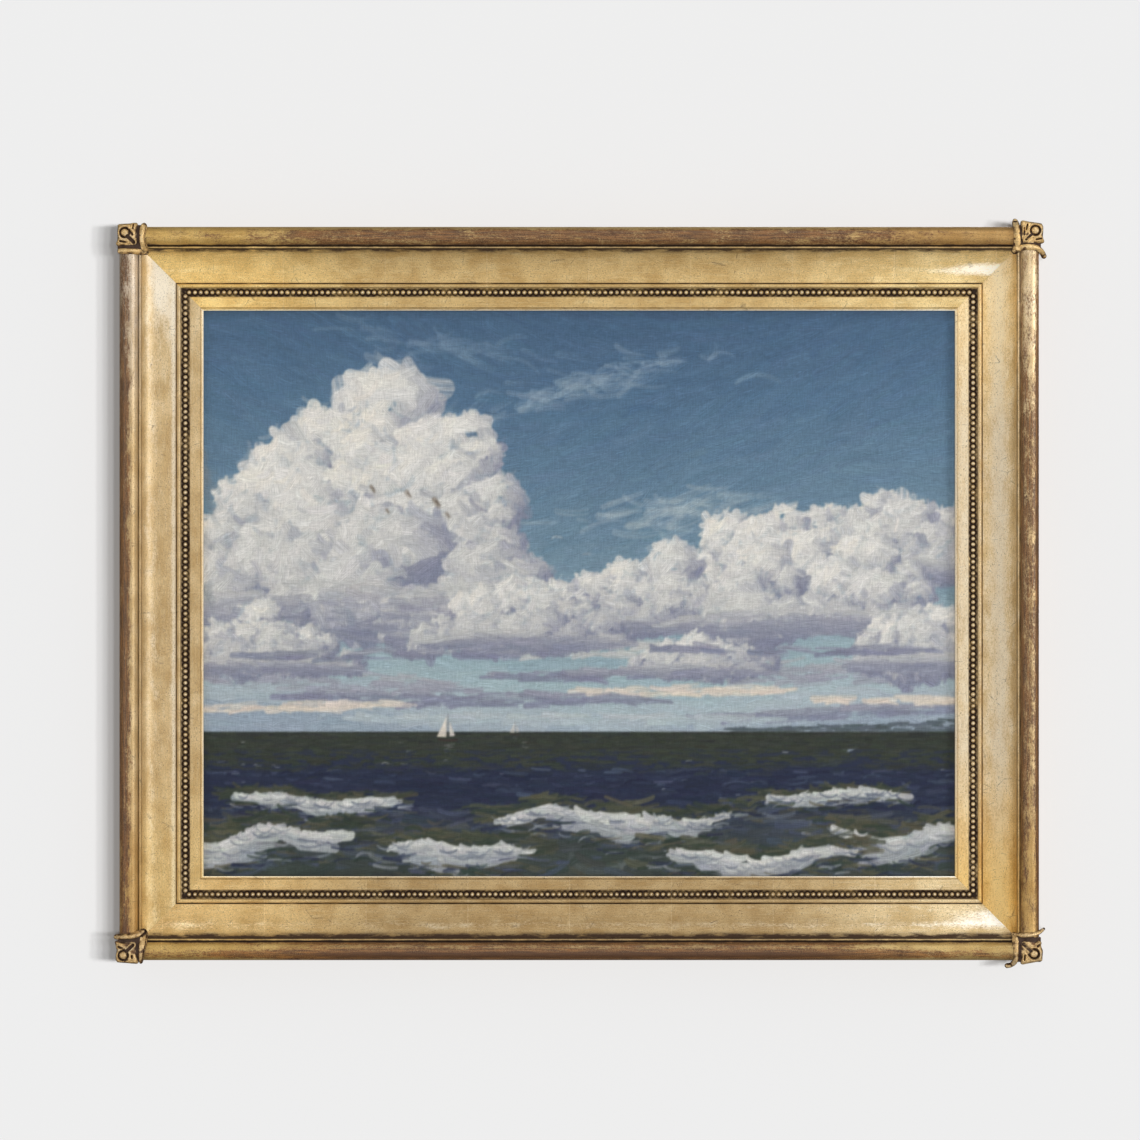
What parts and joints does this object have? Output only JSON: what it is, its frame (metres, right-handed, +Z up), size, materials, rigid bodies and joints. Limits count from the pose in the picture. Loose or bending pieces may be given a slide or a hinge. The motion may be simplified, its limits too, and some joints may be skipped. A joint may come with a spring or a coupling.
{
  "type": "framed oil painting",
  "caption": "Oil painting of a sea under a cloudy sky, in a worn gilded frame with a cove, a string of pearls at the sight edge and moulded caps over the outer corners.",
  "frame": {"origin": "on the flat back of the frame's top rail, halfway along it and 20 mm below its top edge, where the picture hangs on its wall", "axes": "+X to the right as seen from the front, +Y into the wall, +Z up; the painting faces -Y"},
  "size_m": [0.741, 0.0489, 0.594],
  "materials": {
    "gilt_rail": "worn gold leaf over brown bole and gesso on a wooden moulding, satin",
    "gilt_pearls": "worn gold leaf on moulded composition, with dark dirt between the pearls",
    "gilt_caps": "rubbed gold leaf on moulded composition, dark in its hollows",
    "painted_linen": "oil paint in visible strokes on primed linen, low sheen; raw linen on the back",
    "stretcher_softwood": "aged bare softwood, matt"
  },
  "bodies": {
    "root": {"rail_top": "gilt_rail", "rail_right": "gilt_rail", "rail_bottom": "gilt_rail", "rail_left": "gilt_rail", "bead_course_top": "gilt_pearls", "bead_course_right": "gilt_pearls", "bead_course_bottom": "gilt_pearls", "bead_course_left": "gilt_pearls", "corner_cap_top_left": "gilt_caps", "corner_cap_top_right": "gilt_caps", "corner_cap_bottom_right": "gilt_caps", "corner_cap_bottom_left": "gilt_caps", "canvas": "painted_linen", "stretcher_bar_top": "stretcher_softwood", "stretcher_bar_right": "stretcher_softwood", "stretcher_bar_bottom": "stretcher_softwood", "stretcher_bar_left": "stretcher_softwood"}
  },
  "joints": []
}
